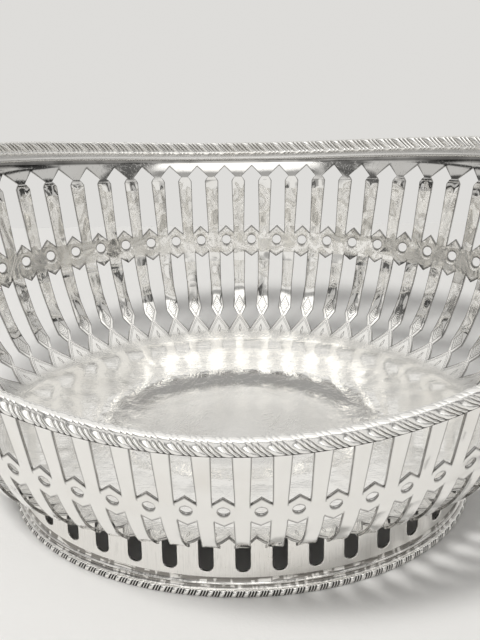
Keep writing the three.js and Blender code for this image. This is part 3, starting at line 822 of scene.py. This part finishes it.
def pierced(n, fields, colour, roughness, normal):
    """The bowl: painted shade along the cut edges and under the floor inside the foot, a painted
    shadow line under the border's joint, a floor worn dull, fine polishing lines in the cove and,
    fainter, on the floor's middle, and an uneven step round that middle, each in its band up the
    profile. Engraving and slat marks come on top."""
    place, uv, shade, _, blots = fields
    u, v = n.add("ShaderNodeSeparateXYZ", {"Vector": uv}).outputs[:2]
    joint_at = float(run_at(level_at_inset(BORDER_INSET)))
    # Painted shadow: a dark line just below the border's joint; painted shade on the cut edges and
    # the floor's underside.
    joint_shadow = n.times(n.ramp(v, joint_at - 1.4, joint_at - 0.9), n.ramp(blots, 0.3, 0.6, 1.0, 0.7))
    dark = n.most(n.ramp(shade, 0.15, 0.8, 0.0, 0.72), n.times(joint_shadow, 0.95))
    colour = n.mix(dark, colour, BOWL_PAINTED_SHADE)
    worn = n.plus(n.ramp(v, *MIDDLE_WORN, 0.18, 0.04), n.ramp(v, *WALL_WORN, 0.0, 0.12))
    worn = n.times(worn, n.ramp(v, *WALL_FADE, 1.0, 0.0))
    roughness = n.plus(roughness, n.times(worn, n.ramp(blots, 0.3, 0.7, 0.8, 1.2)))
    polished = n.most(n.window(v, *COVE_BAND), n.ramp(v, *MIDDLE_LINES, 0.3, 0.0))
    lines = n.noise(place, 1.0, 1.0, 0.5, stretch=(35.0, 2400.0, 35.0))
    normal = n.bump(n.times(lines, polished), 0.00003, 0.7, normal)
    on_step = n.window(v, *STEP_BAND)
    normal = n.bump(n.times(n.noise(place, 170, 3.0, 0.6), on_step), 0.0003, 0.5, normal)
    cuts, normal = engraving(n, u, v, normal)
    normal = slat_marks(n, place, u, v, normal)
    return n.mix(n.times(cuts, 0.45), colour, CUT_TONE), roughness, normal


def up_wall(height):
    """How many millimetres up the profile a height lies."""
    return float(run_at(level_at(height)))


def engraving(n, u, v, normal):
    """Bright-cut work inside the bowl, laid out in pitches round (u) and millimetres up (v): three
    lines along each slot's pointed end, a leaf under each slat, a hatched lozenge on its foot and
    a scalloped ring between two plain ones, and a sunk rim round each hole. A line is cut where
    the distance from its curve is less than its width."""
    beside = n.math("PINGPONG", u, 0.5)  # 0 at a slot, 0.5 at a slat
    from_slat = n.minus(0.5, beside)
    tip, neck = up_wall(LOWER_TIP), up_wall(LOWER_TIP + LOWER_NECK_RISE)
    shoulder = up_wall(LOWER_TIP + LOWER_SHOULDER_RISE)

    def away(value, at):
        return n.math("ABSOLUTE", n.minus(value, at))

    def line(value, at, width):
        return n.ramp(away(value, at), width * 0.4, width, 1.0, 0.0)

    from_edge = n.minus(v, n.math("MULTIPLY_ADD", beside, (neck - tip) / 0.4, tip))
    slot_lines = n.times(n.math("LESS_THAN", v, neck + 0.4),
                         n.most(*(line(from_edge, *where) for where in SLOT_LINES)))
    scalloped = n.plus(v, n.times(n.math("SINE", n.times(u, 2 * np.pi * 4)), 0.3))
    rings = n.most(*(line(value, tip + rise, width) for value, (rise, width) in (
        (scalloped, SCALLOPED_RING), (v, UPPER_RING), (v, LOWER_RING))))
    from_leaf = away(v, tip + LEAF_RISE)
    leaf = n.times(line(from_slat, n.ramp(from_leaf, 0.0, LEAF_HALF, LEAF_WIDTH, 0.0), 0.016),
                   n.math("LESS_THAN", from_leaf, LEAF_HALF))
    from_lozenge = away(v, shoulder + LOZENGE_RISE)
    lozenge_width = n.ramp(from_lozenge, 0.0, LOZENGE_HALF, LOZENGE_WIDTH, 0.0)
    hatch = n.ramp(n.math("SINE", n.math("MULTIPLY_ADD", from_slat, 55.0, n.times(v, -6.0))),
                   0.3, 0.9, 0.0, 0.55)
    lozenge = n.most(n.times(n.math("LESS_THAN", from_slat, lozenge_width), hatch),
                     n.times(line(from_slat, lozenge_width, 0.02),
                             n.math("LESS_THAN", from_lozenge, LOZENGE_HALF)))
    cuts = n.most(slot_lines, n.times(rings, 0.35), leaf, lozenge)
    around = n.times(beside, BOWL_EDGE / SLOTS)
    from_hole = n.math("POWER", n.plus(n.times(around, around), n.math(
        "POWER", away(v, up_wall(HOLE_HEIGHT)), 2.0)), 0.5)
    sunk_rim = n.ramp(from_hole, HOLE_RADIUS + 0.3, HOLE_RADIUS + 1.3)
    normal = n.bump(sunk_rim, 0.0001, 0.6, normal)
    return cuts, n.bump(n.minus(1.0, cuts), 0.00012, 0.8, normal)


def slat_marks(n, place, u, v, normal):
    """What hand work left on the slats: they bend back a little, and unevenly, under the neck and
    under the row of holes, with long drawn marks on the upper ones, broader hammer marks on the
    lower ones and fine file lines on both. The marks are noise less its middle value, different
    from slat to slat, times a window that keeps them off the slats' ends."""
    shoulder = up_wall(LOWER_TIP + LOWER_SHOULDER_RISE)
    lower, upper, top = (up_wall(height) for height in (LOWER_CORNER, UPPER_CORNER, NECK_HEIGHT))
    on_upper = n.window(v, upper, upper + 3, top - 4, top)
    on_lower = n.window(v, shoulder, shoulder + 5, lower - 4, lower)
    bent = n.most(n.ramp(v, lower - 4, lower, 1.0, 0.0), n.window(v, lower, upper, top - 4, top))
    uneven = n.times(n.ramp(n.noise(place, 90, 0.0, 0.5), 0.3, 0.7, -0.25, 0.25),
                     n.ramp(v, shoulder, shoulder + 5))
    normal = n.bump(n.times(bent, n.plus(uneven, 0.75)), 0.0009, 0.9, normal)
    own = n.add("ShaderNodeCombineXYZ", {
        0: n.math("FRACT", u), 1: v, 2: n.times(n.math("FLOOR", u), 7.3)}).outputs[0]

    def marks(across, along):
        return n.minus(n.noise(own, 1.0, 0.0, 0.5, stretch=(across, along, 1.0)), 0.5)

    drawn = n.times(marks(3.2, 0.07), on_upper, 1.4)
    hammered = n.times(marks(2.0, 0.09), on_lower)
    normal = n.bump(n.plus(drawn, hammered), 0.0017, 0.8, normal)
    filed = n.times(marks(11.0, 0.12), n.plus(on_upper, on_lower))
    return n.bump(filed, 0.00001, 0.5, normal)


polished_plate = plate("polished silver plate", (0.91, 0.90, 0.875, 1), 0.05, 0.5, pierced)
struck_plate = plate("struck silver plate", (0.93, 0.92, 0.895, 1), 0.2, 0.4, shaded_grooves)
foot_plate = plate("burnished silver plate", (0.89, 0.875, 0.845, 1), 0.13, 0.4, brushed)

build_bowl(polished_plate)
build_rim_border(struck_plate)
build_collar(foot_plate)
build_foot_moulding(foot_plate)
build_foot_border(struck_plate)


# Camera, at the photo's place: on the basket's middle line, looking along +Y and down. Sizes of
# the camera and the stage are in metres, angles in radians.

CAMERA_PLACE, CAMERA_PITCH, CAMERA_ROLL = (0, -0.3026, 0.2752), 0.573, 0.013
SENSOR_WIDTH, LENS = 36.0, 54.06
FLOOR_TONE, FLOOR_RINGS = (0.84, 0.835, 0.825, 1), (0.4, 1.2, 3.0)
BACKDROP_TONE, FAR_EDGE = (0.73, 0.72, 0.70, 1), 0.233
BACKDROP_HALF, BACKDROP_HEIGHT = 3.0, 0.16
LAMP_PLACE, LAMP_TARGET, LAMP_SIZE = (-0.42, -0.55, 1.45), (0, 0, 0.05), (0.22, 0.18)
LAMP_COLOUR, LAMP_POWER = (1.0, 0.99, 0.97), 14.5
SCREENS = [
    # turn to the left and right edge, height of the low and high edge, soft edge, times the tone
    (-0.85, 0.65, 0.7, 1.45, 0.2, 1.8),
    (-2.3, -0.3, 0.1, 0.8, 0.12, 0.62),
    (0.32, 2.3, 0.1, 0.8, 0.12, 0.62),
    (-0.5, 0.5, 0.44, 0.74, 0.08, 0.45),
    (-0.74, -0.5, 0.1, 0.9, 0.05, 0.2),
    (0.5, 0.74, 0.1, 0.9, 0.05, 0.2),
    (-1.5, -0.84, 0.28, 0.45, 0.05, 0.12),
    (-1.4, -0.8, 0.04, 0.22, 0.03, 0.06),
    (0.8, 1.55, 0.28, 0.45, 0.05, 0.08),
    (0.85, 1.4, 0.04, 0.22, 0.03, 0.06),
]


def pose(right, up, back, place):
    """Where an object stands, and which way its own three axes point."""
    matrix = np.eye(4)
    matrix[:3] = np.stack([right, up, back, place], -1)
    return Matrix(matrix.tolist())


def build_camera():
    """The camera, tipped down by its pitch and then rolled about the way it looks."""
    level_right = np.array([1.0, 0.0, 0.0])
    level_up = np.array([0.0, np.sin(CAMERA_PITCH), np.cos(CAMERA_PITCH)])
    back = np.array([0.0, -np.cos(CAMERA_PITCH), np.sin(CAMERA_PITCH)])
    right = np.cos(CAMERA_ROLL) * level_right - np.sin(CAMERA_ROLL) * level_up
    up = np.sin(CAMERA_ROLL) * level_right + np.cos(CAMERA_ROLL) * level_up
    data = bpy.data.cameras.new("camera")
    data.sensor_width = SENSOR_WIDTH
    data.lens = LENS
    data.clip_start = 0.01
    data.clip_end = 20.0
    camera = new_object("camera", data)
    camera.matrix_world = pose(right, up, back, CAMERA_PLACE)
    bpy.context.scene.camera = camera


# Stage: a pale floor, a slightly greyer backdrop close behind the basket, and soft light from the
# upper left in front.

def build_floor():
    """A round floor: a disc inside rings of quads."""
    turn = np.linspace(0, 2 * np.pi, 97)[:-1]
    radius = np.array(FLOOR_RINGS)[:, None]
    grid = np.stack([radius * np.cos(turn), radius * np.sin(turn), 0 * radius * turn], -1)
    quads = strip_faces(len(radius), len(turn), False)[:, ::-1]
    n = Nodes(bpy.data.materials.new("pale floor"))
    place = n.add("ShaderNodeTexCoord").outputs["Object"]
    n.feed(n.shader.inputs, {
        "Base Color": FLOOR_TONE, "Roughness": 0.9, "Specular IOR Level": 0.1,
        "Normal": n.bump(n.noise(place, 700, 1.0, 0.5), 0.0002, 0.25)})
    mesh = bpy.data.meshes.new("floor")
    mesh.from_pydata(grid.reshape(-1, 3).tolist(), [], quads.tolist() + [list(range(len(turn)))])
    mesh.materials.append(n.owner)
    new_object("floor", mesh)


def seen_directly(n):
    """1 for the rays by which the camera, metal and glass see a thing, 0 for all others."""
    path = n.add("ShaderNodeLightPath").outputs
    return n.most(path["Is Camera Ray"], path["Is Glossy Ray"], path["Is Transmission Ray"])


def build_backdrop():
    """An upright sheet along the floor's far edge, which shows its own even tone to the camera and
    the metal, lights nothing, and is clear from behind, so that the basket's back can be seen."""
    n = Nodes(bpy.data.materials.new("backdrop"))
    in_front = n.minus(1.0, n.add("ShaderNodeNewGeometry").outputs["Backfacing"])
    tone = n.add("ShaderNodeEmission", {"Color": BACKDROP_TONE}).outputs[0]
    clear = n.add("ShaderNodeBsdfTransparent").outputs[0]
    shown = n.times(seen_directly(n), in_front)
    both = n.add("ShaderNodeMixShader", {0: shown, 1: clear, 2: tone}).outputs[0]
    n.feed(n.tree.nodes["Material Output"].inputs, {"Surface": both})
    mesh = bpy.data.meshes.new("backdrop")
    mesh.from_pydata([(side, FAR_EDGE, height) for height in (0, BACKDROP_HEIGHT)
                      for side in (-BACKDROP_HALF, BACKDROP_HALF)], [], [(0, 1, 3, 2)])
    mesh.materials.append(n.owner)
    new_object("backdrop", mesh)


def build_lamp():
    """A soft lamp that shines from its place to its target, and that the metal doesn't mirror."""
    data = bpy.data.lights.new("key", "AREA")
    data.shape = "RECTANGLE"
    data.size, data.size_y = LAMP_SIZE
    data.energy = LAMP_POWER
    data.color = LAMP_COLOUR
    lamp = new_object("key", data)
    back = unit(np.array(LAMP_PLACE) - np.array(LAMP_TARGET))
    side = unit(np.cross([0.0, 0.0, 1.0], back))
    lamp.matrix_world = pose(side, np.cross(back, side), back, LAMP_PLACE)
    lamp.visible_glossy = False


def build_room():
    """The world: a pale room, brighter overhead. The polished metal also mirrors a bright panel
    above, a dark shelf behind and dark screens in front, set by turn and height in radians, each a
    window in both that multiplies the tone. The camera sees the plain room."""
    world = bpy.data.worlds.new("room")
    bpy.context.scene.world = world
    n = Nodes(world)
    way = n.add("ShaderNodeTexCoord").outputs["Generated"]
    x, y, z = n.add("ShaderNodeSeparateXYZ", {"Vector": way}).outputs
    across, height = n.math("ARCTAN2", x, n.times(y, -1.0)), n.math("ARCSINE", z)
    plain = n.ramp(height, 0.3, 0.8, 0.85, 0.91)
    behind = n.ramp(n.math("ABSOLUTE", across), 1.9, 2.3)
    shelf = n.times(behind, n.window(height, 0.70, 0.78, 0.98, 1.06))
    tone = n.times(plain, n.math("MULTIPLY_ADD", shelf, -0.62, 1.0))
    for left, right, low, high, soft, times in SCREENS:
        inside = n.times(n.window(across, left, left + soft, right - soft, right),
                         n.window(height, low, low + soft, high - soft, high))
        tone = n.times(tone, n.math("MULTIPLY_ADD", inside, times - 1.0, 1.0))
    by_camera = n.add("ShaderNodeLightPath").outputs["Is Camera Ray"]
    tone = n.math("MULTIPLY_ADD", by_camera, n.minus(plain, tone), tone)
    colour = n.add("ShaderNodeCombineColor", {0: tone, 1: n.times(tone, 0.99),
                                              2: n.times(tone, 0.97)}).outputs[0]
    n.feed(n.tree.nodes["Background"].inputs, {
        "Color": colour, "Strength": n.ramp(seen_directly(n), 0.0, 1.0, 0.6, 1.0)})


build_camera()
build_floor()
build_backdrop()
build_lamp()
build_room()

bpy.context.scene.view_settings.view_transform = "Standard"

bpy.context.view_layer.update()
